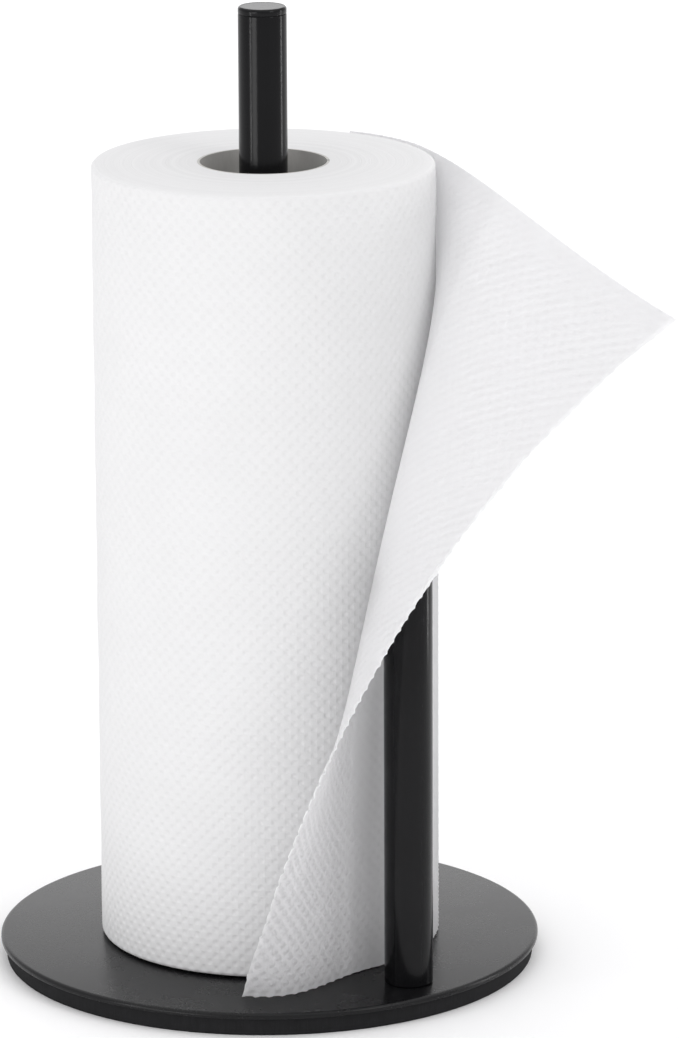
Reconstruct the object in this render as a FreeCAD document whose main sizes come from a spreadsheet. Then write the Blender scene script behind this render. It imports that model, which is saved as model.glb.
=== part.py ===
import FreeCAD, Part
import math
import os
import Sketcher
from FreeCAD import Placement, Rotation, Vector

# Counter-top paper towel holder, loaded with a full roll whose loose end is
# drawn out past the tear bar.
# Frame: origin at the centre of the base's underside, +Z up, tear bar on +X.
# All lengths in millimetres, all angles in degrees.

doc = FreeCAD.newDocument("paper_towel_holder")

# ---------------------------------------------------------------- sizes
SIZES = [
    # uprights
    ("tube_radius", 8.5, "outside radius of both uprights"),
    ("tube_wall", 1.5, "wall of the upright tube"),
    ("post_top", 343.0, "centre post's top above the counter"),
    ("bar_top", 157.0, "tear bar's top above the counter"),
    ("cap_thickness", 2.5, "cap's flange on top of a tube"),
    ("cap_chamfer", 1.0, "chamfer round the cap's top"),
    ("plug_depth", 9.0, "cap's plug inside the tube"),
    ("foot_fillet", 0.6, "rounding at the tube's foot"),
    # base
    ("plate_thickness", 2.0, "steel plate"),
    ("plate_edge_fillet", 1.2, "rounding of the plate's upper rim"),
    ("rim_margin", 8.75, "plate beyond the tear bar"),
    ("pad_recess", 2.0, "pad's edge inside the plate's edge"),
    ("pad_skin", 0.9, "rubber under the screw heads"),
    ("ballast_radius", 66.0, "steel weight in the pad"),
    ("ballast_thickness", 4.0, "steel weight in the pad"),
    # fasteners, one set under each upright
    ("screw_radius", 3.0, "M6 screw"),
    ("screw_reach", 12.0, "screw's length inside the threaded plug"),
    ("screw_point", 0.3, "chamfer on the screw's end"),
    ("head_radius", 5.25, "screw head"),
    ("head_height", 2.6, "screw head"),
    ("head_clearance", 0.3, "air round and under a screw head"),
    ("socket_radius", 2.3, "hexagon socket, across corners / 2"),
    ("socket_depth", 1.5, "hexagon socket"),
    ("screw_clearance", 0.3, "plate hole round the screw"),
    ("spring_radius", 5.5, "spring lock washer, outside"),
    ("spring_thickness", 1.5, "spring lock washer"),
    ("spring_slit", 1.2, "gap in the spring lock washer"),
    ("washer_radius", 8.0, "flat washer, outside"),
    ("washer_thickness", 1.2, "flat washer"),
    ("washer_bore_gap", 0.2, "washers' bore round the screw"),
    ("plug_height", 16.0, "threaded plug in the tube's foot"),
    # roll of paper
    ("roll_radius", 60.1, "full roll, outside"),
    ("roll_height", 279.4, "roll's width, 11 inches"),
    ("core_bore_radius", 22.2, "inside of the core"),
    ("core_wall", 0.9, "cardboard core"),
    ("roll_rim_fillet", 1.6, "soft rim of the winding"),
    ("roll_lift_gap", 0.4, "air between roll and plate"),
    ("tear_gap", 10.4, "gap between full roll and tear bar"),
    # loose sheet
    ("paper_gap", 0.5, "air between sheet and winding"),
    ("paper_thickness", 0.6, "stand-in thickness of the two plies"),
    ("wrap_start", 111.4, "where the outermost turn starts, from +X"),
    ("leave_bottom", -1.6, "where the sheet's bottom edge leaves the roll"),
    ("leave_top", 76.4, "where the sheet's top edge leaves the roll"),
    ("leave_power", 3.0, "how late the leaving line swings round"),
    ("leave_pull", 19.0, "how far the sheet keeps the roll's direction"),
]

# The loose part is one smooth patch between the line where the sheet leaves
# the roll and its torn edge.  Points run from the bottom edge to the top edge:
# beyond the tear bar's axis, beyond the side of the bar that the sheet passes,
# and height as a share of the roll's height.
TORN_EDGE = [
    (-24.4, -47.3, 0.0),
    (8.0, -51.6, 0.266),
    (22.9, -15.3, 0.511),
    (55.3, -6.2, 0.691),
    (67.3, 71.5, 0.856),
]
BELLY = [
    (-4.0, -33.3, 0.0),
    (-14.8, -27.7, 0.25),
    (9.8, -18.7, 0.512),
    (29.9, 12.7, 0.741),
    (28.9, 54.5, 0.921),
]
CROSSING = 0.53  # share of the roll's height that lies level with the bar's top
LOOSE_REACH = 50.0  # straight length of loose paper that leave_pull belongs to
WRAP_STEPS = 10
LOOSE_STEPS = 10
HEIGHT_STEPS = 16
SAME_PLACE = 1e-4  # two heights or radii closer than this are one

sizes = doc.addObject("Spreadsheet::Sheet", "sizes")
for row, (alias, number, note) in enumerate(SIZES, start=1):
    sizes.set(f"A{row}", alias)
    sizes.set(f"B{row}", str(number))
    sizes.set(f"C{row}", note)
    sizes.setAlias(f"B{row}", alias)
doc.recompute()


def size(alias):
    return float(getattr(sizes, alias))


# ------------------------------------------------- sizes that follow others
def expression(text):
    """Write every alias in a sum as a reference to its cell."""
    names = {alias for alias, _, _ in SIZES}
    words = text.replace("(", " ( ").replace(")", " ) ").split()
    return " ".join(f"sizes.{word}" if word in names else word for word in words)


STACK = "washer_thickness + spring_thickness + head_height"
PAD_TOP = f"{STACK} + head_clearance + pad_skin"
PLATE_TOP = f"{PAD_TOP} + plate_thickness"
BAR_X = "roll_radius + tear_gap + tube_radius"
PLATE_RADIUS = f"{BAR_X} + tube_radius + rim_margin"
TUBE_BORE = "tube_radius - tube_wall"
ROLL_FOOT = f"{PLATE_TOP} + roll_lift_gap"


def value(text):
    """The same sum as a plain number."""
    known = {alias: size(alias) for alias, _, _ in SIZES}
    total, sign = 0.0, 1
    for word in text.split():
        if word in "+-":
            sign = 1 if word == "+" else -1
        else:
            total += sign * known[word]
    return total


# ---------------------------------------------------------- sketch helpers
def new_body(label, x="", z=""):
    """A body named for its piece, placed along X and up Z."""
    body = doc.addObject("PartDesign::Body", label)
    body.Label = label
    if x:
        body.setExpression("Placement.Base.x", expression(x))
    if z:
        body.setExpression("Placement.Base.z", expression(z))
    return body


def sketch_at(body, name, z=""):
    """A sketch parallel to the body's XY plane, z above it."""
    sketch = body.newObject("Sketcher::SketchObject", name)
    plane = next(f for f in body.Origin.OriginFeatures if f.Role == "XY_Plane")
    sketch.AttachmentSupport = (plane, [""])
    sketch.MapMode = "FlatFace"
    if z:
        sketch.setExpression("AttachmentOffset.Base.z", expression(z))
    return sketch


def circle(sketch, radius, x=""):
    """A circle bound to its radius, centred on the origin or on the X axis."""
    start = value(radius)
    centre = Vector(value(x) if x else 0, 0, 0)
    index = sketch.addGeometry(Part.Circle(centre, Vector(0, 0, 1), start), False)
    if x:
        sketch.addConstraint(Sketcher.Constraint("PointOnObject", index, 3, -1))
        across = sketch.addConstraint(
            Sketcher.Constraint("DistanceX", -1, 1, index, 3, centre.x)
        )
        sketch.setExpression(f"Constraints[{across}]", expression(x))
    else:
        sketch.addConstraint(Sketcher.Constraint("Coincident", index, 3, -1, 1))
    bound = sketch.addConstraint(Sketcher.Constraint("Radius", index, start))
    sketch.setExpression(f"Constraints[{bound}]", expression(radius))


def pad(body, sketch, length):
    feature = body.newObject("PartDesign::Pad", f"{sketch.Name}_pad")
    feature.Profile = sketch
    feature.setExpression("Length", expression(length))
    doc.recompute()


def pocket(body, sketch, depth, upwards=False):
    """Cut down from the sketch, or up from it, and make sure that it cuts."""
    before = body.Shape.Volume
    feature = body.newObject("PartDesign::Pocket", f"{sketch.Name}_cut")
    feature.Profile = sketch
    feature.setExpression("Length", expression(depth))
    feature.Reversed = upwards
    doc.recompute()
    if body.Shape.Volume >= before:
        raise RuntimeError(f"{feature.Name} cuts nothing out of {body.Label}")


def rims(shape, z, radius):
    """Names of the round edges at one height with one radius."""
    names = []
    for index, edge in enumerate(shape.Edges, start=1):
        box = edge.BoundBox
        level = abs(box.ZMin - z) < SAME_PLACE and abs(box.ZMax - z) < SAME_PLACE
        if level and isinstance(edge.Curve, Part.Circle):
            if abs(edge.Curve.Radius - radius) < SAME_PLACE:
                names.append(f"Edge{index}")
    return names


def soften(body, kind, amount, z, radius):
    """Fillet or chamfer the round edge at one height with one radius."""
    base = body.Tip
    name = f"{body.Name}_{kind.lower()}{len(body.Group)}"
    feature = body.newObject(f"PartDesign::{kind}", name)
    feature.Base = (base, rims(base.Shape, z, radius))
    feature.setExpression("Radius" if kind == "Fillet" else "Size", expression(amount))
    doc.recompute()


def disc(label, radius, thickness, z, x="", bore=""):
    """A flat round piece with an optional bore."""
    body = new_body(label, x, z)
    outline = sketch_at(body, f"{label}_outline")
    circle(outline, radius)
    if bore:
        circle(outline, bore)
    pad(body, outline, thickness)
    return body


# -------------------------------------------------------------------- base
def base_plate():
    body = new_body("base_plate", z=PAD_TOP)
    outline = sketch_at(body, "plate_outline")
    circle(outline, PLATE_RADIUS)
    circle(outline, "screw_radius + screw_clearance")
    circle(outline, "screw_radius + screw_clearance", x=BAR_X)
    pad(body, outline, "plate_thickness")
    soften(body, "Fillet", "plate_edge_fillet", size("plate_thickness"), value(PLATE_RADIUS))


def rubber_pad():
    """Pad with a wide pocket for the weight and one for each screw head."""
    body = new_body("rubber_pad")
    outline = sketch_at(body, "pad_outline")
    circle(outline, f"{PLATE_RADIUS} - pad_recess")
    pad(body, outline, PAD_TOP)
    seat = sketch_at(body, "ballast_seat", z=PAD_TOP)
    circle(seat, "ballast_radius")
    pocket(body, seat, "ballast_thickness")
    for name, x in (("post_well", ""), ("bar_well", BAR_X)):
        well = sketch_at(body, name, z=PAD_TOP)
        circle(well, "washer_radius + head_clearance", x=x)
        pocket(body, well, f"{STACK} + head_clearance")


def ballast_disc():
    disc(
        "ballast_disc",
        "ballast_radius",
        "ballast_thickness",
        z=f"{PAD_TOP} - ballast_thickness",
        bore="washer_radius + head_clearance",
    )


# ---------------------------------------------------------------- uprights
def tube(label, top, x):
    """Round tube from the plate to the underside of its cap."""
    body = new_body(label, x, PLATE_TOP)
    outline = sketch_at(body, f"{label}_outline")
    circle(outline, "tube_radius")
    circle(outline, TUBE_BORE)
    pad(body, outline, f"{top} - cap_thickness - ( {PLATE_TOP} )")
    soften(body, "Fillet", "foot_fillet", 0.0, size("tube_radius"))


def cap(label, top, x):
    """Flat cap with a chamfered rim and a plug that presses into the tube."""
    body = new_body(label, x, f"{top} - cap_thickness - plug_depth")
    plug = sketch_at(body, f"{label}_plug")
    circle(plug, TUBE_BORE)
    pad(body, plug, "plug_depth")
    flange = sketch_at(body, f"{label}_flange", z="plug_depth")
    circle(flange, "tube_radius")
    pad(body, flange, "cap_thickness")
    height = value("plug_depth + cap_thickness")
    soften(body, "Chamfer", "cap_chamfer", height, size("tube_radius"))


def threaded_plug(label, x):
    """Steel plug in the tube's foot, tapped for the screw."""
    disc(label, TUBE_BORE, "plug_height", z=PLATE_TOP, x=x, bore="screw_radius")


def screw(label, x):
    """Low-head socket screw, head down, its thread in the plug above."""
    body = new_body(label, x, f"{PAD_TOP} - ( {STACK} )")
    head = sketch_at(body, f"{label}_head")
    circle(head, "head_radius")
    pad(body, head, "head_height")
    shank = sketch_at(body, f"{label}_shank", z="head_height")
    circle(shank, "screw_radius")
    length = "washer_thickness + spring_thickness + plate_thickness + screw_reach"
    pad(body, shank, length)
    socket = sketch_at(body, f"{label}_socket")
    hexagon(socket, "socket_radius")
    pocket(body, socket, "socket_depth", upwards=True)
    end = value(f"head_height + {length}")
    soften(body, "Chamfer", "screw_point", end, size("screw_radius"))


def hexagon(sketch, radius):
    """A regular hexagon on a construction circle bound to its radius."""
    start = size(radius)
    ring = sketch.addGeometry(Part.Circle(Vector(0, 0, 0), Vector(0, 0, 1), start), True)
    corners = [
        Vector(start * math.cos(math.radians(60 * k)), start * math.sin(math.radians(60 * k)), 0)
        for k in range(6)
    ]
    sides = [
        sketch.addGeometry(Part.LineSegment(corners[k], corners[(k + 1) % 6]), False)
        for k in range(6)
    ]
    sketch.addConstraint(Sketcher.Constraint("Coincident", ring, 3, -1, 1))
    for k, side in enumerate(sides):
        sketch.addConstraint(Sketcher.Constraint("Coincident", side, 2, sides[(k + 1) % 6], 1))
        sketch.addConstraint(Sketcher.Constraint("PointOnObject", side, 1, ring))
        if k:
            sketch.addConstraint(Sketcher.Constraint("Equal", sides[0], side))
    sketch.addConstraint(Sketcher.Constraint("PointOnObject", sides[0], 1, -1))
    bound = sketch.addConstraint(Sketcher.Constraint("Radius", ring, start))
    sketch.setExpression(f"Constraints[{bound}]", expression(radius))


def spring_washer(label, x):
    """Split ring between the screw head and the flat washer."""
    body = disc(
        label,
        "spring_radius",
        "spring_thickness",
        z=f"{PAD_TOP} - washer_thickness - spring_thickness",
        x=x,
        bore="screw_radius + washer_bore_gap",
    )
    slit = sketch_at(body, f"{label}_slit", z="spring_thickness")
    half = size("spring_slit") / 2
    corners = [Vector(0, -half, 0), Vector(0, half, 0)]
    far = 2 * size("spring_radius")  # well past the ring's outside
    corners += [Vector(far, half, 0), Vector(far, -half, 0)]
    sides = [
        slit.addGeometry(Part.LineSegment(corners[k], corners[(k + 1) % 4]), False)
        for k in range(4)
    ]
    for k, side in enumerate(sides):
        slit.addConstraint(Sketcher.Constraint("Coincident", side, 2, sides[(k + 1) % 4], 1))
    for kind, side in zip(("Horizontal", "Vertical", "Horizontal"), sides[1:]):
        slit.addConstraint(Sketcher.Constraint(kind, side))
    slit.addConstraint(Sketcher.Constraint("Symmetric", sides[0], 1, sides[0], 2, -1))
    slit.addConstraint(Sketcher.Constraint("PointOnObject", sides[0], 1, -2))
    width = slit.addConstraint(Sketcher.Constraint("DistanceY", sides[0], 1, sides[0], 2, 2 * half))
    slit.setExpression(f"Constraints[{width}]", "sizes.spring_slit")
    reach = slit.addConstraint(Sketcher.Constraint("DistanceX", sides[1], 1, sides[1], 2, far))
    slit.setExpression(f"Constraints[{reach}]", "2 * sizes.spring_radius")
    pocket(body, slit, "spring_thickness")


def flat_washer(label, x):
    disc(
        label,
        "washer_radius",
        "washer_thickness",
        z=f"{PAD_TOP} - washer_thickness",
        x=x,
        bore="screw_radius + washer_bore_gap",
    )


def upright(name, tube_label, top, x):
    """A tube with everything that closes it and holds it to the base."""
    tube(tube_label, top, x)
    cap(f"{name}_cap", top, x)
    threaded_plug(f"{name}_threaded_plug", x)
    screw(f"{name}_screw", x)
    spring_washer(f"{name}_spring_washer", x)
    flat_washer(f"{name}_flat_washer", x)


# -------------------------------------------------------------------- roll
def core_tube():
    disc(
        "core_tube",
        "core_bore_radius + core_wall",
        "roll_height",
        z=ROLL_FOOT,
        bore="core_bore_radius",
    )


def paper_roll():
    body = disc(
        "paper_roll",
        "roll_radius",
        "roll_height",
        z=ROLL_FOOT,
        bore="core_bore_radius + core_wall",
    )
    for z in (size("roll_height"), 0.0):
        soften(body, "Fillet", "roll_rim_fillet", z, size("roll_radius"))


# ------------------------------------------------------------- loose sheet
def bezier(points, share):
    """A point on the Bezier curve that the given points shape."""
    degree = len(points) - 1
    place = Vector(0, 0, 0)
    for k, point in enumerate(points):
        weight = math.comb(degree, k) * share**k * (1 - share) ** (degree - k)
        place = place + point * weight
    return place


def beside_bar(points):
    """Points given from the tear bar, in the part's frame."""
    foot, height = value(ROLL_FOOT), size("roll_height")
    x, y = value(BAR_X), -size("tube_radius")
    return [Vector(x + dx, y + dy, foot + height * share) for dx, dy, share in points]


def level_with_bar(point):
    """Heights stretched so that the sheet clears the bar whatever their sizes."""
    foot, height = value(ROLL_FOOT), size("roll_height")
    crossing = size("bar_top") - foot
    share = (point.z - foot) / height
    if share < CROSSING:
        rise = crossing * share / CROSSING
    else:
        rise = crossing + (height - crossing) * (share - CROSSING) / (1 - CROSSING)
    return Vector(point.x, point.y, foot + rise)


def sheet_row(share):
    """One line round the roll and out to the torn edge, at a share of height."""
    middle = size("roll_radius") + size("paper_gap") + size("paper_thickness") / 2
    z = value(ROLL_FOOT) + size("roll_height") * share
    first, last = size("wrap_start"), size("leave_bottom")
    last += (size("leave_top") - last) * share ** size("leave_power")

    def on_roll(angle):
        turn = math.radians(angle)
        return Vector(middle * math.cos(turn), middle * math.sin(turn), z)

    wrapped = [on_roll(first + (last - first) * k / WRAP_STEPS) for k in range(WRAP_STEPS)]
    leave = on_roll(last)
    along = Vector(math.sin(math.radians(last)), -math.cos(math.radians(last)), 0)
    outer = [bezier(beside_bar(line), share) for line in (BELLY, TORN_EDGE)]
    pull = size("leave_pull") * (outer[1] - leave).Length / LOOSE_REACH
    return wrapped, [leave, leave + along * pull, *outer]


def sheet_point(share, step):
    """Middle of the paper: steps count round the roll, then out to the edge."""
    wrapped, loose = sheet_row(share)
    if step < WRAP_STEPS:
        return level_with_bar(wrapped[step])
    return level_with_bar(bezier(loose, (step - WRAP_STEPS) / LOOSE_STEPS))


def free_sheet():
    """Thin closed solid through both faces of the paper."""
    steps = WRAP_STEPS + LOOSE_STEPS
    shares = [k / HEIGHT_STEPS for k in range(HEIGHT_STEPS + 1)]
    grid = [[sheet_point(share, step) for step in range(steps + 1)] for share in shares]
    half = size("paper_thickness") / 2

    def side(sign):
        moved = []
        for i, line in enumerate(grid):
            moved.append([])
            for j, point in enumerate(line):
                up = grid[min(i + 1, HEIGHT_STEPS)][j] - grid[max(i - 1, 0)][j]
                on = line[min(j + 1, steps)] - line[max(j - 1, 0)]
                normal = up.cross(on).normalize()
                moved[-1].append(point + normal * (half * sign))
        surface = Part.BSplineSurface()
        surface.interpolate(moved)
        return surface

    outer, inner = side(1), side(-1)
    faces = [outer.toShape(), inner.toShape()]
    for limit, iso in enumerate(("uIso", "uIso", "vIso", "vIso")):
        edges = [getattr(face, iso)(face.bounds()[limit]).toShape() for face in (outer, inner)]
        faces.append(Part.makeRuledSurface(*edges, 1))
    shell = Part.makeCompound(faces)
    shell.sewShape()
    solid = Part.Solid(Part.Shell(shell.Faces))
    if solid.Volume < 0:
        solid.reverse()
    feature = doc.addObject("Part::Feature", "free_sheet")
    feature.Label = "free_sheet"
    feature.Shape = solid
    feature.Placement = Placement(Vector(0, 0, 0), Rotation())


# ---------------------------------------------------------------- assembly
base_plate()
rubber_pad()
ballast_disc()
upright("post", "centre_post", "post_top", "")
upright("bar", "tear_bar", "bar_top", BAR_X)
core_tube()
paper_roll()
free_sheet()
doc.recompute()

pieces = [o for o in doc.Objects if o.TypeId == "PartDesign::Body" or o.Name == "free_sheet"]
for item in doc.Objects:
    if "Invalid" in item.State or "Error" in item.State:
        raise RuntimeError(f"{item.Name} failed: {item.State}")
for piece in pieces:
    if piece.Shape.isNull() or not piece.Shape.isValid() or not piece.Shape.Solids:
        raise RuntimeError(f"{piece.Label} has no valid solid")

os.makedirs("parts", exist_ok=True)
for piece in pieces:
    piece.Shape.exportStep(f"parts/{piece.Label}.step")
    print(f"{piece.Label}: {piece.Shape.Volume:.0f} mm3")
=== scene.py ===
import math
from collections import namedtuple

import bmesh
import bpy
import numpy as np
from bpy.props import FloatProperty, FloatVectorProperty, IntProperty, PointerProperty
from mathutils import Matrix, Vector, noise


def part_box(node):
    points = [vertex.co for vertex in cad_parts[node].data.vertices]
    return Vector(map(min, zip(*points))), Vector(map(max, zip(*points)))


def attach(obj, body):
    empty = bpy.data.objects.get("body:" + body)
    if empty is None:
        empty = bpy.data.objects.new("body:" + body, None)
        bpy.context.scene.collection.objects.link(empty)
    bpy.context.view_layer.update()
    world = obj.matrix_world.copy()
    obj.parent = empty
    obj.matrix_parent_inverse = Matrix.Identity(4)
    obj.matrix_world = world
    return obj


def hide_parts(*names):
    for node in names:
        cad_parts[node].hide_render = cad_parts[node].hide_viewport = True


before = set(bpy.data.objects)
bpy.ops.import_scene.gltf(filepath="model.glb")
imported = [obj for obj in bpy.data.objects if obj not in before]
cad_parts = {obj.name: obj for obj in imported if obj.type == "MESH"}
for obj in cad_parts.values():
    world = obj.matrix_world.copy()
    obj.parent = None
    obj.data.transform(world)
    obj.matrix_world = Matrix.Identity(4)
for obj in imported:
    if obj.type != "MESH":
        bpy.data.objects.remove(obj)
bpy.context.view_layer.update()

# Counter-top paper towel holder with a full roll whose loose end is drawn out
# past the tear bar.  Metres, origin at the centre of the base's underside, +Z up,
# tear bar on +X.

bl_info = {
    "name": "Paper Towel Holder",
    "version": (1, 0, 0),
    "blender": (4, 5, 0),
    "location": "View3D > Sidebar > Towel Holder",
    "description": "Models and finishes a counter-top paper towel holder with its roll",
    "category": "Add Mesh",
}

MM = 0.001
FULL_TURN = 2 * math.pi
HOLDER, SHEET_BODY, ROLL_BODY = "holder", "loose_sheet", "roll"
CELLS = 4  # mesh cells from one dimple to the next
MERGE = 0.002 * MM  # points nearer than this are one


# ------------------------------------------------------------------ settings
class HolderSizes(bpy.types.PropertyGroup):
    """Small sizes of the metal and rubber parts that the frame leaves plain."""

    sides: IntProperty(
        name="Sides", description="Sides of every turned part", default=160, min=48
    )
    plate_rounding: FloatProperty(
        name="Plate rounding",
        description="Rounding of the plate's upper rim",
        default=1.3 * MM,
        unit="LENGTH",
    )
    edge_break: FloatProperty(
        name="Edge break",
        description="Small rounding of the other metal edges",
        default=0.3 * MM,
        unit="LENGTH",
    )
    foot_rounding: FloatProperty(
        name="Foot rounding",
        description="Rounding where an upright stands on the plate",
        default=0.8 * MM,
        unit="LENGTH",
    )
    pad_ribs: IntProperty(
        name="Pad ribs", description="Upright ribs round the rubber pad", default=400, min=60
    )
    rib_depth: FloatProperty(
        name="Rib depth",
        description="Depth of the ribs round the rubber pad",
        default=0.16 * MM,
        unit="LENGTH",
    )


class PaperSizes(bpy.types.PropertyGroup):
    """Embossing and plies of the paper."""

    pitch: FloatProperty(
        name="Pitch",
        description="Distance from one embossed dimple to the next",
        default=4.7 * MM,
        unit="LENGTH",
    )
    wound_depth: FloatProperty(
        name="Wound depth",
        description="Depth of the dimples on the wound roll",
        default=0.28 * MM,
        unit="LENGTH",
    )
    loose_depth: FloatProperty(
        name="Loose depth",
        description="Depth of the dimples where the sheet hangs free",
        default=0.85 * MM,
        unit="LENGTH",
    )
    ply: FloatProperty(
        name="Ply", description="Thickness of one ply", default=0.12 * MM, unit="LENGTH"
    )
    ply_gap: FloatProperty(
        name="Ply gap",
        description="Middle of one ply to the middle of the other",
        default=0.2 * MM,
        unit="LENGTH",
    )
    ply_step: FloatProperty(
        name="Ply step",
        description="How much shorter the inner ply is at the torn edge",
        default=0.8 * MM,
        unit="LENGTH",
    )
    layer_relief: FloatProperty(
        name="Layer relief",
        description="Unevenness of the wound layers on the roll's ends",
        default=0.35 * MM,
        unit="LENGTH",
    )


class HolderColours(bpy.types.PropertyGroup):
    """Colours of the finishes."""

    coat: FloatVectorProperty(
        name="Powder coat",
        description="Black powder coat on base and uprights",
        default=(0.0045, 0.0045, 0.005),
        subtype="COLOR",
    )
    rubber: FloatVectorProperty(
        name="Rubber", description="Pad under the base", default=(0.006, 0.006, 0.0065),
        subtype="COLOR",
    )
    zinc: FloatVectorProperty(
        name="Zinc", description="Plated fasteners", default=(0.62, 0.62, 0.60), subtype="COLOR"
    )
    steel: FloatVectorProperty(
        name="Steel", description="Bare steel weight", default=(0.40, 0.40, 0.41),
        subtype="COLOR",
    )
    board: FloatVectorProperty(
        name="Cardboard", description="Roll's core", default=(0.62, 0.61, 0.585), subtype="COLOR"
    )
    paper: FloatVectorProperty(
        name="Paper", description="Two-ply paper", default=(0.87, 0.87, 0.872), subtype="COLOR"
    )
    sheet: FloatVectorProperty(
        name="Sheet", description="Thin loose plies", default=(0.955, 0.955, 0.957),
        subtype="COLOR",
    )
    floor: FloatVectorProperty(
        name="Floor", description="Studio floor", default=(0.97, 0.97, 0.97), subtype="COLOR"
    )


# ----------------------------------------------------------- material helpers
class Wire:
    """A node's output; arithmetic on wires adds the Math nodes for it."""

    def __init__(self, finish, socket):
        self.finish, self.socket = finish, socket

    def maths(self, operation, *others):
        """A Math node on this wire and others."""
        inputs = dict(enumerate((self, *others)))
        return self.finish.node("Math", {"operation": operation}, inputs)["Value"]

    def cosine(self):
        return self.maths("COSINE")

    def __add__(self, other):
        return self.maths("ADD", other)

    def __sub__(self, other):
        return self.maths("SUBTRACT", other)

    def __rsub__(self, other):
        return self * -1 + other

    def __mul__(self, other):
        return self.maths("MULTIPLY", other)

    def __truediv__(self, other):
        return self.maths("DIVIDE", other)

    def __pow__(self, other):
        return self.maths("POWER", other)

    __radd__, __rmul__ = __add__, __mul__


class Made:
    """A node that was added, whose outputs are read by name."""

    def __init__(self, finish, node):
        self.finish, self.added = finish, node

    def __getitem__(self, output):
        return Wire(self.finish, self.added.outputs[output])


class Finish:
    """A material with one Principled shader, built from wires."""

    def __init__(self, name, colour, roughness, **constants):
        self.material = bpy.data.materials.new(name)
        self.material.use_nodes = True
        self.tree = self.material.node_tree
        self.tree.nodes.clear()
        self.shader = self.node("BsdfPrincipled").added
        output = self.node("OutputMaterial").added
        self.tree.links.new(self.shader.outputs["BSDF"], output.inputs["Surface"])
        self.set("Base Color", (*colour, 1))
        self.set("Roughness", roughness)
        for socket, number in constants.items():
            self.set(socket.replace("_", " "), number)

    def set(self, socket, source):
        """Give a shader socket a number, a colour or a wire."""
        self.join(self.shader.inputs[socket], source)

    def join(self, socket, source):
        """Give any socket a number, a colour or a wire."""
        if isinstance(source, Wire):
            self.tree.links.new(source.socket, socket)
        else:
            socket.default_value = source

    def node(self, kind, settings=None, inputs=None):
        """Add a node of a kind, with its settings first and then its inputs."""
        node = self.tree.nodes.new("ShaderNode" + kind)
        for setting, choice in (settings or {}).items():
            setattr(node, setting, choice)
        for socket, source in (inputs or {}).items():
            self.join(node.inputs[socket], source)
        return Made(self, node)

    def place(self, stretch=(1, 1, 1), shift=(0, 0, 0), source="Object"):
        """Object or UV coordinates, moved and stretched."""
        coords = self.node("TexCoord")[source]
        moved = {"Vector": coords, "Location": shift, "Scale": stretch}
        return self.node("Mapping", {"vector_type": "POINT"}, moved)["Vector"]

    def grain(self, scale, detail=3.0, vector=None, roughness=0.55):
        """Noise from 0 to 1."""
        vector = vector or self.place()
        inputs = {"Vector": vector, "Scale": scale, "Detail": detail, "Roughness": roughness}
        return self.node("TexNoise", {"noise_dimensions": "3D"}, inputs)["Fac"]

    def streaks(self, along, scale, detail):
        """Noise from 0 to 1 that changes only along one wire."""
        inputs = {"W": along, "Scale": scale, "Detail": detail}
        return self.node("TexNoise", {"noise_dimensions": "1D"}, inputs)["Fac"]

    def blend(self, factor, first, second):
        """Mix two colours."""
        settings = {"data_type": "RGBA", "blend_type": "MIX"}
        mix = self.node("Mix", settings).added
        colours = [s for s in mix.inputs if s.type == "RGBA"]
        self.join(mix.inputs[0], factor)
        for socket, colour in zip(colours, (first, second)):
            self.join(socket, colour if isinstance(colour, Wire) else (*colour, 1))
        return Wire(self, next(s for s in mix.outputs if s.type == "RGBA"))

    def let_light_through(self, colour, share):
        """Mix in a share of a shader that shows the light behind thin paper."""
        thin = self.node("BsdfTranslucent", None, {"Color": (*colour, 1)})["BSDF"]
        solid = Wire(self, self.shader.outputs["BSDF"])
        mixed = self.node("MixShader", None, {0: share, 1: solid, 2: thin})["Shader"]
        output = next(n for n in self.tree.nodes if n.type == "OUTPUT_MATERIAL")
        self.join(output.inputs["Surface"], mixed)

    def embossing(self, across, up, pitch):
        """Staggered dimples, 0 between them and 1 in their middles."""
        waves = (across * (FULL_TURN / pitch)).cosine() * (up * (FULL_TURN / pitch)).cosine()
        return waves.maths("MAXIMUM", 0.0)

    def bump(self, height, distance, strength=1.0):
        """Raise the surface by a wire times a distance in metres."""
        inputs = {"Height": height, "Distance": distance, "Strength": strength}
        self.set("Normal", self.node("Bump", None, inputs)["Normal"])


def even_pitch(radius, pitch):
    """The pitch nearest to a given one that goes evenly round the roll."""
    return FULL_TURN * radius / round(FULL_TURN * radius / pitch)


def darker(colour, share):
    """A colour times a share, which makes it lighter above 1."""
    return tuple(part * share for part in colour)


# ------------------------------------------------------------------ finishes
def powder_coat(colour, smoothest=0.22, specular=0.24):
    """Satin black coat with a fine orange peel and faint dusty patches."""
    coat = Finish("black_powder_coat", colour, 0.4, Specular_IOR_Level=specular)
    peel = coat.grain(1500, 2.0)
    speck = coat.grain(420, 4.0)
    haze = coat.grain(38, 4.0)
    coat.set("Base Color", coat.blend(haze * 0.6, colour, darker(colour, 1.9)))
    coat.set("Roughness", smoothest + 0.07 * haze + 0.04 * speck)
    coat.bump(peel * 0.7 + speck * 0.3, 0.03 * MM)
    return coat.material


def tube_coat(colour):
    """The same coat on the uprights, where it lies smoother."""
    return powder_coat(colour, smoothest=0.11, specular=0.18)


def rubber(colour):
    """Matt rubber with a fibrous, upright streak."""
    skin = Finish("black_rubber", colour, 0.85, Specular_IOR_Level=0.25)
    streak = skin.grain(1.0, 4.0, skin.place((2600, 2600, 160)))
    dust = skin.grain(300, 4.0)
    skin.set("Base Color", skin.blend(streak * dust, colour, darker(colour, 5.0)))
    skin.set("Roughness", 0.78 + 0.18 * dust)
    skin.bump(streak, 0.12 * MM)
    return skin.material


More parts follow.
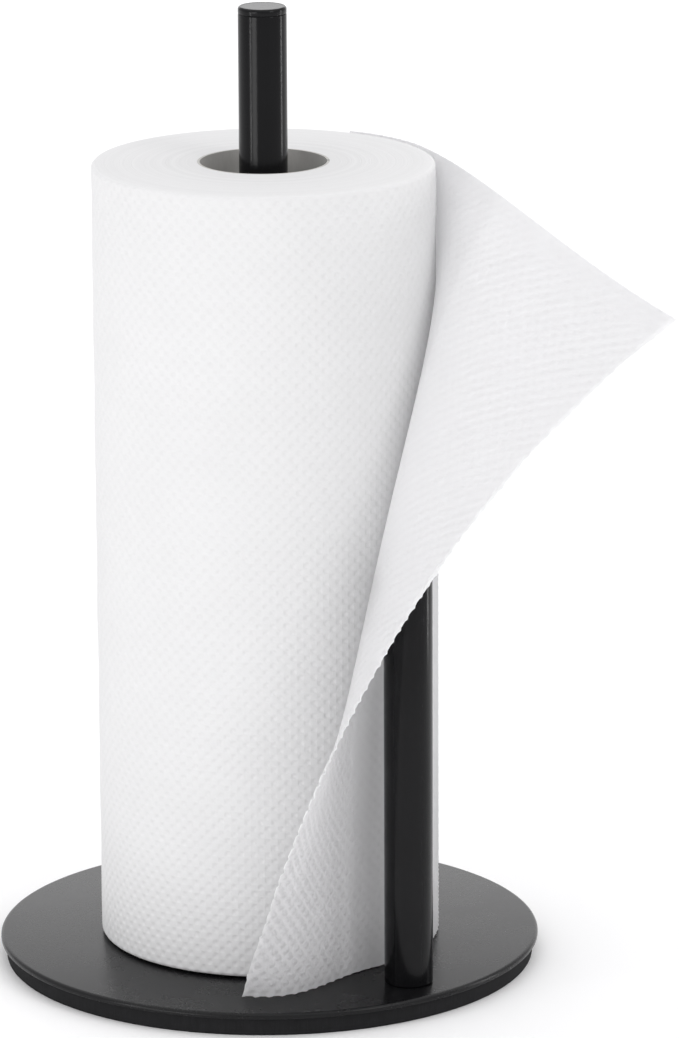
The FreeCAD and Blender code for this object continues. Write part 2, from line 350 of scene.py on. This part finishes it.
def plated_steel(colour):
    """Zinc-plated fastener with a cloudy, lightly scratched surface."""
    zinc = Finish("zinc_steel", colour, 0.35, Metallic=1.0)
    cloud = zinc.grain(260, 5.0)
    zinc.set("Base Color", zinc.blend(cloud, darker(colour, 0.8), colour))
    zinc.set("Roughness", 0.26 + 0.22 * cloud)
    zinc.bump(zinc.grain(1.0, 2.0, zinc.place((400, 400, 5200))), 0.02 * MM)
    return zinc.material


def raw_steel(colour):
    """Rolled steel of the weight, with mill scale."""
    steel = Finish("raw_steel", colour, 0.5, Metallic=1.0)
    scale = steel.grain(90, 6.0)
    steel.set("Base Color", steel.blend(scale ** 2, colour, darker(colour, 0.35)))
    steel.set("Roughness", 0.42 + 0.25 * scale)
    steel.bump(scale, 0.05 * MM)
    return steel.material


def cardboard(colour):
    """Spirally wound board: a helical joint, and fibres along the helix."""
    board = Finish("cardboard", colour, 0.9)
    rise, seam_share = 62 * MM, 0.016  # of the helix in one turn, and the joint's part of it
    split = board.node("SeparateXYZ", None, {0: board.place()})
    turn = split["Y"].maths("ARCTAN2", split["X"]) / FULL_TURN
    winding = (split["Z"] / rise - turn).maths("FRACT")
    seam = (winding - 0.5).maths("ABSOLUTE").maths("LESS_THAN", seam_share / 2)
    fibre = board.grain(1.0, 4.0, board.place((900, 900, 260)))
    base = board.blend(fibre, darker(colour, 0.86), colour)
    board.set("Base Color", board.blend(seam * 0.7, base, darker(colour, 0.45)))
    board.set("Roughness", 0.82 + 0.14 * fibre)
    board.bump(fibre * 0.5 - seam, 0.08 * MM)
    return board.material


def wound_side(colour):
    """Side of the winding: crepe lines up the roll, dimples with painted shade in them, soft
    cloudy tone.
    """
    paper = Finish("wound_paper", colour, 0.95, Specular_IOR_Level=0.25)
    sizes = bpy.context.scene.paper_sizes
    radius = round_part("paper_roll").radius
    pitch = even_pitch(radius, sizes.pitch)
    split = paper.node("SeparateXYZ", None, {0: paper.place()})
    around = split["Y"].maths("ARCTAN2", split["X"]) * radius
    dimple = paper.embossing(around, split["Z"], pitch)
    crepe = paper.grain(1.0, 3.0, paper.place((1500, 1500, 420)))
    cloud = paper.grain(30, 3.0)
    layers = paper.grain(1.0, 2.0, paper.place((12, 12, 420)))
    shade = paper.blend(cloud, darker(colour, 0.88), darker(colour, 0.93))
    # Base colour: random layer streaks, plus painted shade that darkens each dimple's hollow.
    pressed = paper.blend(layers * 0.16 + dimple * 0.13, shade, darker(colour, 0.80))
    paper.set("Base Color", pressed)
    paper.set("Roughness", 0.9 + 0.08 * crepe)
    paper.bump(crepe * 0.4 + layers * 0.3 - dimple, 0.16 * MM)
    return paper.material


def wound_end(colour):
    """End of the winding: hundreds of thin layers, some standing proud."""
    paper = Finish("wound_paper_end", colour, 0.95, Specular_IOR_Level=0.25)
    split = paper.node("SeparateXYZ", None, {0: paper.place()})
    x, y = split["X"], split["Y"]
    radius = (x * x + y * y) ** 0.5
    drifted = radius + paper.grain(14, 2.0) * (1.6 * MM)
    line = paper.streaks(drifted, 2600, 3.0)
    band = paper.streaks(drifted, 420, 2.0)
    streak = line * 0.6 + band * 0.4
    paper.set("Base Color", paper.blend(streak, darker(colour, 0.82), colour))
    paper.set("Roughness", 0.9 + 0.08 * line)
    paper.bump(streak, 0.18 * MM)
    return paper.material


def sheet_paper(colour):
    """Thin loose paper: crepe lines, fibres, and dimples that fade toward the top, with painted
    shade on the dimples.
    """
    fade_height, faintest, see_through = 0.19, 0.15, 0.68
    paper = Finish("sheet_paper", colour, 0.95, Specular_IOR_Level=0.2)
    flat = paper.node("SeparateXYZ", None, {0: paper.node("TexCoord")["UV"]})
    dimple = paper.embossing(flat["X"], flat["Y"], bpy.context.scene.paper_sizes.pitch)
    pressed = 1 + faintest - flat["Y"] / fade_height
    dimple = dimple * pressed.maths("MAXIMUM", faintest)
    crepe = paper.grain(1.0, 3.0, paper.place((2100, 620, 1), source="UV"))
    net = paper.grain(1.0, 2.0, paper.place((900, 1300, 1), (3, 7, 0), "UV"))
    cloud = paper.grain(1.0, 3.0, paper.place((60, 60, 1), source="UV"))
    tint = (colour[0] * 0.97, colour[1] * 0.965, colour[2] * 0.97)
    fibres = paper.blend(cloud * 0.6 + net * 0.4, tint, colour)
    # The dimples darken the base colour: painted shade that makes them stand out.
    paper.set("Base Color", paper.blend(dimple * 0.20, fibres, darker(colour, 0.80)))
    paper.set("Roughness", 0.9 + 0.08 * net)
    paper.bump(crepe * 0.45 + net * 0.45 + dimple * 1.2, 0.16 * MM)
    paper.let_light_through(colour, see_through)
    return paper.material


def studio_floor(colour):
    """Plain matt floor."""
    floor = Finish("studio_floor", colour, 0.9, Specular_IOR_Level=0.1)
    floor.set("Roughness", 0.85 + 0.1 * floor.grain(6, 2.0))
    return floor.material


# ------------------------------------------------------------- mesh helpers
RoundPart = namedtuple("RoundPart", "axis radius foot top")


def round_part(node):
    """Axis, outside radius, foot and top of an upright round CAD node."""
    low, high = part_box(node)
    axis = Vector(((low.x + high.x) / 2, (low.y + high.y) / 2, 0))
    return RoundPart(axis, (high.x - low.x) / 2, low.z, high.z)


def add_ring(name, axis, radius, height, sides, fill="NOTHING"):
    """A level circle of points, left in edit mode with all of it selected."""
    bpy.ops.object.select_all(action="DESELECT")
    place = (axis.x, axis.y, height)
    bpy.ops.mesh.primitive_circle_add(
        vertices=sides, radius=radius, fill_type=fill, location=place
    )
    bpy.ops.object.transform_apply(location=True, rotation=False, scale=False)
    piece = bpy.context.object
    piece.name = piece.data.name = name
    bpy.ops.object.mode_set(mode="EDIT")
    bpy.ops.mesh.select_mode(type="VERT")
    bpy.ops.mesh.select_all(action="SELECT")
    return piece


def draw_along(axis, outline):
    """Extrude the selected ring from one (radius, height) to the next."""
    for (radius, height), (next_radius, next_height) in zip(outline, outline[1:]):
        rise = (0, 0, next_height - height)
        bpy.ops.mesh.extrude_region_move(TRANSFORM_OT_translate={"value": rise})
        share = next_radius / radius
        bpy.ops.transform.resize(
            value=(share, share, 1), center_override=(axis.x, axis.y, next_height)
        )


def pick(piece, kind, wanted):
    """In edit mode, select only the edges or faces that pass a test."""
    bpy.ops.mesh.select_mode(type="EDGE" if kind == "edges" else "FACE")
    bpy.ops.mesh.select_all(action="DESELECT")
    mesh = bmesh.from_edit_mesh(piece.data)
    for item in getattr(mesh, kind):
        if wanted(item):
            item.select_set(True)
    mesh.select_flush_mode()
    bmesh.update_edit_mesh(piece.data)


def on_rim(axis, radius, height, slack=0.02 * MM):
    """Test for the edges of one level circle."""

    def wanted(edge):
        return all(
            abs(v.co.z - height) < slack
            and abs(math.hypot(v.co.x - axis.x, v.co.y - axis.y) - radius) < slack
            for v in edge.verts
        )

    return wanted


def round_rim(piece, axis, radius, height, amount, segments=3):
    """Bevel one level circle of edges."""
    pick(piece, "edges", on_rim(axis, radius, height))
    bpy.ops.mesh.bevel(offset=amount, segments=segments, affect="EDGES")


def merge_doubles():
    bpy.ops.mesh.select_all(action="SELECT")
    bpy.ops.mesh.remove_doubles(threshold=MERGE)


def close_up(piece, angle=30):
    """Merge doubles, point the faces out, and smooth all but sharp edges."""
    merge_doubles()
    bpy.ops.mesh.normals_make_consistent(inside=False)
    bpy.ops.object.mode_set(mode="OBJECT")
    bpy.ops.object.shade_smooth_by_angle(angle=math.radians(angle))
    return piece


def set_finish(piece, *materials):
    """Give a piece these materials in place of any it has."""
    piece.data.materials.clear()
    for material in materials:
        piece.data.materials.append(material)


def settle(piece, body, slot, *nodes):
    """Parent a finished piece to its body's empty and hide the CAD nodes it stands in for."""
    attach(piece, body)
    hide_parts(*nodes)


def finish_of(make, colour):
    """A material by its maker's function, made once and kept apart from the frame's own."""
    name = f"{make.__name__}_finish"
    material = bpy.data.materials.get(name) or make(colour)
    material.name = name
    return material


def moved(piece, shift):
    """Move each of a piece's points by a function of all of them."""
    points = np.empty(len(piece.data.vertices) * 3)
    piece.data.vertices.foreach_get("co", points)
    points = points.reshape(-1, 3)
    piece.data.vertices.foreach_set("co", (points + shift(points)).ravel())
    piece.data.update()


def dimples(across, up, pitch):
    """Staggered round dimples, 0 between them and 1 in their middles."""
    wave = np.cos(FULL_TURN * across / pitch) * np.cos(FULL_TURN * up / pitch)
    return np.clip(wave, 0, 1) ** 1.3


# -------------------------------------------------------------------- pieces
class TOWEL_OT_base(bpy.types.Operator):
    """Model the coated base plate and the ribbed rubber pad under it"""

    bl_idname = "towel.base"
    bl_label = "Base"

    def execute(self, context):
        sizes, colours = context.scene.holder_sizes, context.scene.holder_colours
        self.plate(sizes, colours)
        self.pad(sizes, colours)
        return {"FINISHED"}

    def plate(self, sizes, colours):
        axis, radius, foot, top = round_part("base_plate")
        plate = add_ring("plate_shell", axis, radius, foot, 2 * sizes.sides, "NGON")
        draw_along(axis, [(radius, foot), (radius, top)])
        round_rim(plate, axis, radius, top, sizes.plate_rounding, 5)
        round_rim(plate, axis, radius, foot, sizes.edge_break)
        set_finish(close_up(plate), finish_of(powder_coat, colours.coat))
        settle(plate, HOLDER, "black_powder_coat", "base_plate")

    def pad(self, sizes, colours):
        axis, radius, foot, top = round_part("rubber_pad")
        pad = add_ring("pad_skin", axis, radius, foot, 2 * sizes.pad_ribs, "NGON")
        draw_along(axis, [(radius, foot), (radius, top)])
        round_rim(pad, axis, radius, foot, 2 * sizes.edge_break)
        sector = FULL_TURN / sizes.pad_ribs

        def hollow(edge):
            """Upright edges in the hollows between two ribs."""
            low, high = sorted(edge.verts, key=lambda v: v.co.z)
            angle = math.atan2(low.co.y, low.co.x) % sector
            upright = high.co.z - low.co.z > (top - foot) / 2
            return upright and abs(angle - sector / 2) < sector / 8

        pick(pad, "edges", hollow)
        share = 1 - sizes.rib_depth / radius
        bpy.ops.transform.resize(value=(share, share, 1), center_override=(0, 0, foot))
        set_finish(close_up(pad, 80), finish_of(rubber, colours.rubber))
        settle(pad, HOLDER, "black_rubber", "rubber_pad")


class TOWEL_OT_uprights(bpy.types.Operator):
    """Model the centre post and the tear bar with their caps"""

    bl_idname = "towel.uprights"
    bl_label = "Uprights"

    TUBE_OF = {"post_cap": "centre_post", "bar_cap": "tear_bar"}
    CAP_ROUNDING = 1.0 * MM
    INSET, INSET_DEPTH = 0.6 * MM, 0.08 * MM

    def execute(self, context):
        sizes, colours = context.scene.holder_sizes, context.scene.holder_colours
        for cap, tube in self.TUBE_OF.items():
            self.tube(tube, sizes, colours)
            self.cap(cap, sizes, colours)
        return {"FINISHED"}

    def tube(self, node, sizes, colours):
        axis, radius, foot, top = round_part(node)
        bore = round_part("post_threaded_plug").radius
        corners = [(bore, foot), (radius, foot), (radius, top), (bore, top), (bore, foot)]
        tube = add_ring(f"{node}_tube", axis, *corners[0], sizes.sides)
        draw_along(axis, corners)
        merge_doubles()
        round_rim(tube, axis, radius, foot, sizes.foot_rounding, 4)
        round_rim(tube, axis, radius, top, sizes.edge_break)
        set_finish(close_up(tube), finish_of(tube_coat, colours.coat))
        settle(tube, HOLDER, "black_powder_coat", node)

    def cap(self, node, sizes, colours):
        """Plug inside the tube, flange on its end, chamfered top."""
        axis, radius, foot, top = round_part(node)
        bore = round_part("post_threaded_plug").radius
        seat = round_part(self.TUBE_OF[node]).top
        cap = add_ring(f"{node}_top", axis, bore, foot, sizes.sides, "NGON")
        draw_along(axis, [(bore, foot), (bore, seat), (radius, seat), (radius, top)])
        round_rim(cap, axis, radius, top, self.CAP_ROUNDING, 4)
        round_rim(cap, axis, radius, seat, sizes.edge_break)

        def crown(face):
            return face.normal.z > 0.9 and face.calc_center_median().z > seat

        pick(cap, "faces", crown)
        bpy.ops.mesh.inset(thickness=self.INSET, depth=-self.INSET_DEPTH)
        set_finish(close_up(cap), finish_of(tube_coat, colours.coat))
        settle(cap, HOLDER, "black_powder_coat", node)


class TOWEL_OT_fasteners(bpy.types.Operator):
    """Finish the weight and the screws, washers and plugs inside"""

    bl_idname = "towel.fasteners"
    bl_label = "Hidden metal"

    def execute(self, context):
        colours = context.scene.holder_colours
        set_finish(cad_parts["ballast_disc"], finish_of(raw_steel, colours.steel))
        zinc = finish_of(plated_steel, colours.zinc)
        for upright in ("post", "bar"):
            for kind in ("threaded_plug", "screw", "spring_washer", "flat_washer"):
                set_finish(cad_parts[f"{upright}_{kind}"], zinc)
        return {"FINISHED"}


class TOWEL_OT_roll(bpy.types.Operator):
    """Model the wound paper with its embossing, and finish the core"""

    bl_idname = "towel.roll"
    bl_label = "Roll"

    END_RINGS = 14
    RIM = 1.8 * MM  # rounding of the winding's two edges
    SIDE = 0.5 * MM  # the embossing fades out over this depth at the edges
    SWELL = 0.25 * MM  # how far the winding is out of round
    FINE, COARSE = 2100, 830  # ripples on the ends, in radians per metre
    CALM = 24 * MM  # no ripples inside this radius

    def execute(self, context):
        paper, colours = context.scene.paper_sizes, context.scene.holder_colours
        winding = self.winding(paper)
        self.emboss(winding, paper)
        sides = [finish_of(make, colours.paper) for make in (wound_side, wound_end)]
        set_finish(winding, *sides)
        for face in winding.data.polygons:
            face.material_index = int(abs(face.normal.z) > 0.7)
        settle(winding, ROLL_BODY, "wound_paper", "paper_roll")
        set_finish(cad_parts["core_tube"], finish_of(cardboard, colours.board))
        return {"FINISHED"}

    def winding(self, paper):
        axis, radius, foot, top = round_part("paper_roll")
        bore = round_part("core_tube").radius
        columns = round(FULL_TURN * radius / paper.pitch)
        rim = self.RIM
        inner = np.linspace(bore, radius - rim, self.END_RINGS)
        quarter = [math.radians(angle) for angle in (22.5, 45, 67.5, 90)]
        rounded = [(radius - rim + rim * math.sin(a), rim * (1 - math.cos(a))) for a in quarter]
        lower = [(r, foot) for r in inner] + [(r, foot + rise) for r, rise in rounded]
        upper = [(r, top - (z - foot)) for r, z in reversed(lower)]
        outline = lower + upper + lower[:1]
        piece = add_ring("roll_winding", axis, *outline[0], columns * CELLS)
        draw_along(axis, outline)
        merge_doubles()

        def upright(edge):
            low, high = sorted(edge.verts, key=lambda v: v.co.z)
            tall = high.co.z - low.co.z > (top - foot) / 2
            return tall and math.hypot(low.co.x, low.co.y) > radius - rim

        pick(piece, "edges", upright)
        rows = round((top - foot) / paper.pitch)
        bpy.ops.mesh.subdivide(number_cuts=rows - 1)
        pick(piece, "edges", self.on_side(radius, rows, foot, top))
        bpy.ops.mesh.subdivide(number_cuts=CELLS - 1)
        return close_up(piece, 60)

    def on_side(self, radius, rows, foot, top):
        """Test for the short upright edges on the winding's side."""
        short = (top - foot) / rows

        def wanted(edge):
            first, second = (v.co for v in edge.verts)
            level = abs(first.z - second.z) < short / 2
            outside = min(math.hypot(p.x, p.y) for p in (first, second)) > radius - 0.01 * MM
            return outside and not level

        return wanted

    def emboss(self, piece, paper):
        """Press the dimples into the side and make the ends' layers uneven."""
        _, radius, foot, top = round_part("paper_roll")
        pitch = even_pitch(radius, paper.pitch)

        def shift(points):
            x, y, z = points.T
            spread = np.hypot(x, y)
            angle = np.arctan2(y, x)
            side = np.clip((spread - radius + self.SIDE) / self.SIDE, 0, 1)
            depth = paper.wound_depth * dimples(angle * radius, z, pitch) * side
            wander = np.sin(3 * angle + 40 * z) * np.cos(9 * z / radius)
            swell = self.SWELL * (1 + wander) / 2
            inward = (depth + swell * side) / spread
            ripple = np.sin(spread * self.FINE + 2 * angle)
            ripple += np.sin(spread * self.COARSE - 3 * angle)
            layers = paper.layer_relief * (1 - side) * (1 + ripple / 2) / 2
            middle = (foot + top) / 2
            off_bore = np.clip((spread - self.CALM) / (2 * MM), 0, 1)
            fall = -np.sign(z - middle) * layers * off_bore
            return np.stack([-x * inward, -y * inward, fall], axis=1)

        moved(piece, shift)


# --------------------------------------------------------------- loose sheet
# The sheet between the line where it leaves the roll and its torn edge, from
# bottom to top, in millimetres: beyond the tear bar's axis, beyond the side of
# the bar that it passes, and height as a share of the roll's height.
TORN_EDGE = [
    (-24.4, -47.3, 0.0),
    (8.0, -51.6, 0.266),
    (22.9, -15.3, 0.511),
    (55.3, -6.2, 0.691),
    (67.3, 71.5, 0.856),
]
BELLY = [
    (-4.0, -33.3, 0.0),
    (-14.8, -27.7, 0.25),
    (9.8, -18.7, 0.512),
    (29.9, 12.7, 0.741),
    (28.9, 54.5, 0.921),
]


class TOWEL_OT_sheet(bpy.types.Operator):
    """Model both plies of the loose sheet, from the roll to its torn edge"""

    bl_idname = "towel.sheet"
    bl_label = "Loose sheet"

    STEPS = 90  # points along each half of a row
    WRAP_START = math.radians(111.4)
    LEAVE_BOTTOM, LEAVE_SWING = math.radians(-1.6), math.radians(78.0)
    LEAVE_POWER = 3
    PULL_SHARE = 19 / 50  # of the way to the torn edge, still along the roll
    SHEET_FLAT = (0.2794, 0.178)
    LIE_OFF = 0.38 * MM  # middle of the two plies above the winding
    STUB, STUB_PITCH = 0.22 * MM, 2.4  # of the torn perforation; mm of edge per radian
    LOOSEN = 20 * MM  # beyond the roll, until the dimples are at full depth
    LIE_DOWN, PRESSED_IN = 12 * MM, 0.08 * MM  # length and depth of the start's hold
    PARTING = 9 * MM  # the plies part over this length at the torn edge

    def execute(self, context):
        paper, colours = context.scene.paper_sizes, context.scene.holder_colours
        _, self.radius, self.foot, self.top = round_part("paper_roll")
        self.rows = CELLS * round((self.top - self.foot) / paper.pitch)
        self.columns = CELLS * round(self.SHEET_FLAT[1] / paper.pitch)
        self.bar, self.bar_radius, _, _ = round_part("tear_bar")
        for name, side in (("sheet_outer_ply", 1), ("sheet_inner_ply", -1)):
            ply = self.ply(name, side, paper)
            set_finish(ply, finish_of(sheet_paper, colours.sheet))
            settle(ply, SHEET_BODY, "sheet_paper", "free_sheet")
        return {"FINISHED"}

    def beside_bar(self, line):
        """Points given from the tear bar, in the frame."""
        dx, dy, rise = np.array(line).T
        height = self.foot + (self.top - self.foot) * rise
        return np.stack([self.bar.x + dx * MM, dy * MM - self.bar_radius, height], 1)

    def curve(self, points, share):
        """Point at a share of the Bezier curve that the points shape."""
        degree = len(points) - 1
        return sum(
            math.comb(degree, k) * share**k * (1 - share) ** (degree - k) * point
            for k, point in enumerate(points)
        )

    def row(self, share):
        """Close points along one line of the sheet, from its start to the edge."""
        middle = self.radius + self.LIE_OFF
        z = self.foot + (self.top - self.foot) * share
        leave = self.LEAVE_BOTTOM + self.LEAVE_SWING * share**self.LEAVE_POWER
        angles = np.linspace(self.WRAP_START, leave, self.STEPS)
        wrap = np.stack([middle * np.cos(angles), middle * np.sin(angles), 0 * angles + z], 1)
        outer = [self.curve(self.beside_bar(line), share) for line in (BELLY, TORN_EDGE)]
        start = wrap[-1]
        along = np.array([math.sin(leave), -math.cos(leave), 0])
        reach = np.linalg.norm(outer[1] - start)
        handles = [start, start + along * reach * self.PULL_SHARE, *outer]
        loose = self.curve(handles, np.linspace(0, 1, self.STEPS + 1)[1:, None])
        return np.concatenate([wrap, loose])

    def grid(self, cut):
        """Points in rows up the sheet, their way along it and beyond the roll."""
        points, along, free = [], [], []
        for share in np.linspace(0, 1, self.rows + 1):
            line = self.row(share)
            steps = np.linalg.norm(np.diff(line, axis=0), axis=1)
            run = np.concatenate([[0], np.cumsum(steps)])
            stops = np.linspace(0, run[-1] - cut(share), self.columns + 1)
            points.append(np.stack([np.interp(stops, run, part) for part in line.T], 1))
            along.append(stops)
            free.append(np.clip(stops - run[self.STEPS - 1], 0, None))
        return np.array(points), np.array(along), np.array(free)

    def ply(self, name, side, paper):
        """One ply: 1 is the outer side and -1 the inner one."""
        step = 0 if side > 0 else paper.ply_step

        def cut(share):
            """Ragged torn edge with the stubs of the perforation."""
            place = share * self.SHEET_FLAT[0] / MM
            stubs = self.STUB * abs(math.sin(place / self.STUB_PITCH))
            rough = noise.noise(Vector((place / 1.3, side * 5, 0)))
            slow = noise.noise(Vector((place / 19, side * 9, 4)))
            return step + stubs + (0.35 * rough + 0.8 * slow + 0.9) * MM

        points, along, free = self.grid(cut)
        up = np.gradient(points, axis=0)
        on = np.gradient(points, axis=1)
        normal = np.cross(up, on)
        normal /= np.linalg.norm(normal, axis=2, keepdims=True)
        up_cells, on_cells = np.indices(along.shape) * paper.pitch / CELLS
        share = up_cells / up_cells.max()
        loose = np.clip(free / self.LOOSEN, 0, 1)
        low = np.clip(1.25 - 1.7 * share, 0.12, 1)
        depth = paper.wound_depth + (paper.loose_depth - paper.wound_depth) * loose * low
        relief = depth * (dimples(on_cells, up_cells, paper.pitch) - 0.3)
        start = np.clip(along / self.LIE_DOWN, 0, 1)
        sink = self.PRESSED_IN * (1 - start) ** 2
        parted = 1 + np.clip(1 - (along[:, -1:] - along) / self.PARTING, 0, 1) ** 2
        offset = side * parted * paper.ply_gap / 2 + relief - sink
        points = points + normal * offset[:, :, None]
        piece = self.mesh(name, points, on_cells, up_cells)
        self.thicken(piece, paper.ply)
        return piece

    def mesh(self, name, points, on_cells, up_cells):
        """A grid of faces whose flat coordinates are in metres of paper."""
        rows, columns = on_cells.shape
        corners = [
            row * columns + column for row in range(rows - 1) for column in range(columns - 1)
        ]
        faces = [(low, low + 1, low + columns + 1, low + columns) for low in corners]
        mesh = bpy.data.meshes.new(name)
        mesh.from_pydata(points.reshape(-1, 3).tolist(), [], faces)
        flat = mesh.uv_layers.new(name="UVMap")
        places = np.stack([on_cells.ravel(), up_cells.ravel()], 1)
        order = [loop.vertex_index for loop in mesh.loops]
        flat.data.foreach_set("uv", places[order].ravel())
        piece = bpy.data.objects.new(name, mesh)
        bpy.context.scene.collection.objects.link(piece)
        return piece

    def thicken(self, piece, thickness):
        bpy.ops.object.select_all(action="DESELECT")
        piece.select_set(True)
        bpy.context.view_layer.objects.active = piece
        solid = piece.modifiers.new("Thickness", "SOLIDIFY")
        solid.thickness, solid.offset = thickness, 0
        bpy.ops.object.modifier_apply(modifier=solid.name)
        bpy.ops.object.shade_smooth_by_angle(angle=math.radians(50))


# --------------------------------------------------------------------- stage
class TOWEL_OT_stage(bpy.types.Operator):
    """Set up the floor, the soft lights, the world and the camera"""

    bl_idname = "towel.stage"
    bl_label = "Studio"

    AZIMUTH, ELEVATION, ROLL = 51.4, 14.822, -0.289
    DISTANCE, LENS = 2.2489, 220.98
    TARGET = Vector((0.01613, 0.02020, 0.15935))
    # name, degrees right of the camera, distance, height, width, tall, watts
    LIGHTS = [
        ("key_strip", -57, 0.90, 0.24, 0.06, 0.48, 0.9),
        ("side_strip", 99, 0.90, 0.27, 0.08, 0.54, 1.1),
        ("side_box", 48, 1.10, 0.80, 0.34, 0.50, 1.8),
        ("front_box", -38, 2.60, 0.40, 1.0, 0.6, 7),
        ("back_box", 180, 2.40, 0.80, 3.20, 1.4, 9),
    ]
    SKY, SKY_SPREAD = 1.05, math.radians(100)  # the wide light from above
    BACKDROP, BACKDROP_STRENGTH = (0.99, 0.985, 1.0), 0.67
    FLOOR_RADIUS, FLOOR_SIDES = 9, 96
    SENSOR = 36

    def execute(self, context):
        scene = context.scene
        self.floor(scene.holder_colours)
        self.lights()
        self.world(scene)
        self.camera(scene)
        scene.view_settings.view_transform = "Standard"
        return {"FINISHED"}

    def toward(self, turn):
        """Level direction a number of degrees to the right of the camera."""
        angle = math.radians(self.AZIMUTH + turn)
        return Vector((math.sin(angle), -math.cos(angle), 0))

    def floor(self, colours):
        bpy.ops.object.select_all(action="DESELECT")
        bpy.ops.mesh.primitive_circle_add(
            vertices=self.FLOOR_SIDES, radius=self.FLOOR_RADIUS, fill_type="NGON"
        )
        floor = bpy.context.object
        floor.name = "studio_floor"
        set_finish(floor, finish_of(studio_floor, colours.floor))

    def lights(self):
        for name, turn, distance, height, width, tall, watts in self.LIGHTS:
            place = self.toward(turn) * distance + Vector((0, 0, height))
            bpy.ops.object.light_add(type="AREA", location=place)
            light = bpy.context.object
            light.name = name
            light.rotation_euler = self.toward(turn).to_track_quat("Z", "Y").to_euler()
            light.data.shape = "RECTANGLE"
            light.data.size, light.data.size_y = width, tall
            light.data.energy = watts
        bpy.ops.object.light_add(type="SUN", location=(0, 0, 3))
        sky = bpy.context.object
        sky.name = "sky_box"
        sky.data.angle = self.SKY_SPREAD
        sky.data.energy = self.SKY

    def world(self, scene):
        world = bpy.data.worlds.new("studio_world")
        world.use_nodes = True
        backdrop = world.node_tree.nodes["Background"]
        backdrop.inputs["Color"].default_value = (*self.BACKDROP, 1)
        backdrop.inputs["Strength"].default_value = self.BACKDROP_STRENGTH
        scene.world = world

    def camera(self, scene):
        height, out = math.radians(self.ELEVATION), self.toward(0)
        back = out * math.cos(height) + Vector((0, 0, math.sin(height)))
        turn = (
            Matrix.Rotation(math.radians(self.AZIMUTH), 3, "Z")
            @ Matrix.Rotation(math.radians(90) - height, 3, "X")
            @ Matrix.Rotation(math.radians(self.ROLL), 3, "Z")
        )
        bpy.ops.object.camera_add(location=self.TARGET + back * self.DISTANCE)
        camera = bpy.context.object
        camera.rotation_euler = turn.to_euler()
        camera.data.lens = self.LENS
        camera.data.sensor_width = self.SENSOR
        scene.camera = camera


# ---------------------------------------------------------------- registration
class TOWEL_PT_panel(bpy.types.Panel):
    """Buttons for each piece, in the order in which they are made"""

    bl_idname = "TOWEL_PT_panel"
    bl_label = "Towel Holder"
    bl_space_type = "VIEW_3D"
    bl_region_type = "UI"
    bl_category = "Towel Holder"

    def draw(self, context):
        for operator in OPERATORS:
            self.layout.operator(operator.bl_idname)
        for group in SETTINGS:
            settings = getattr(context.scene, group)
            for name in settings.bl_rna.properties.keys():
                if name not in ("rna_type", "name"):
                    self.layout.prop(settings, name)


OPERATORS = (
    TOWEL_OT_base,
    TOWEL_OT_uprights,
    TOWEL_OT_fasteners,
    TOWEL_OT_roll,
    TOWEL_OT_sheet,
    TOWEL_OT_stage,
)
SETTINGS = {
    "holder_sizes": HolderSizes,
    "paper_sizes": PaperSizes,
    "holder_colours": HolderColours,
}


def register():
    for group in SETTINGS.values():
        bpy.utils.register_class(group)
    for operator in OPERATORS:
        bpy.utils.register_class(operator)
    bpy.utils.register_class(TOWEL_PT_panel)
    for name, group in SETTINGS.items():
        setattr(bpy.types.Scene, name, PointerProperty(type=group))


def unregister():
    for name in SETTINGS:
        delattr(bpy.types.Scene, name)
    bpy.utils.unregister_class(TOWEL_PT_panel)
    for group in (*OPERATORS, *SETTINGS.values()):
        bpy.utils.unregister_class(group)


def main():
    register()
    for operator in OPERATORS:
        group, name = operator.bl_idname.split(".")
        getattr(getattr(bpy.ops, group), name)()


if __name__ == "__main__":
    main()
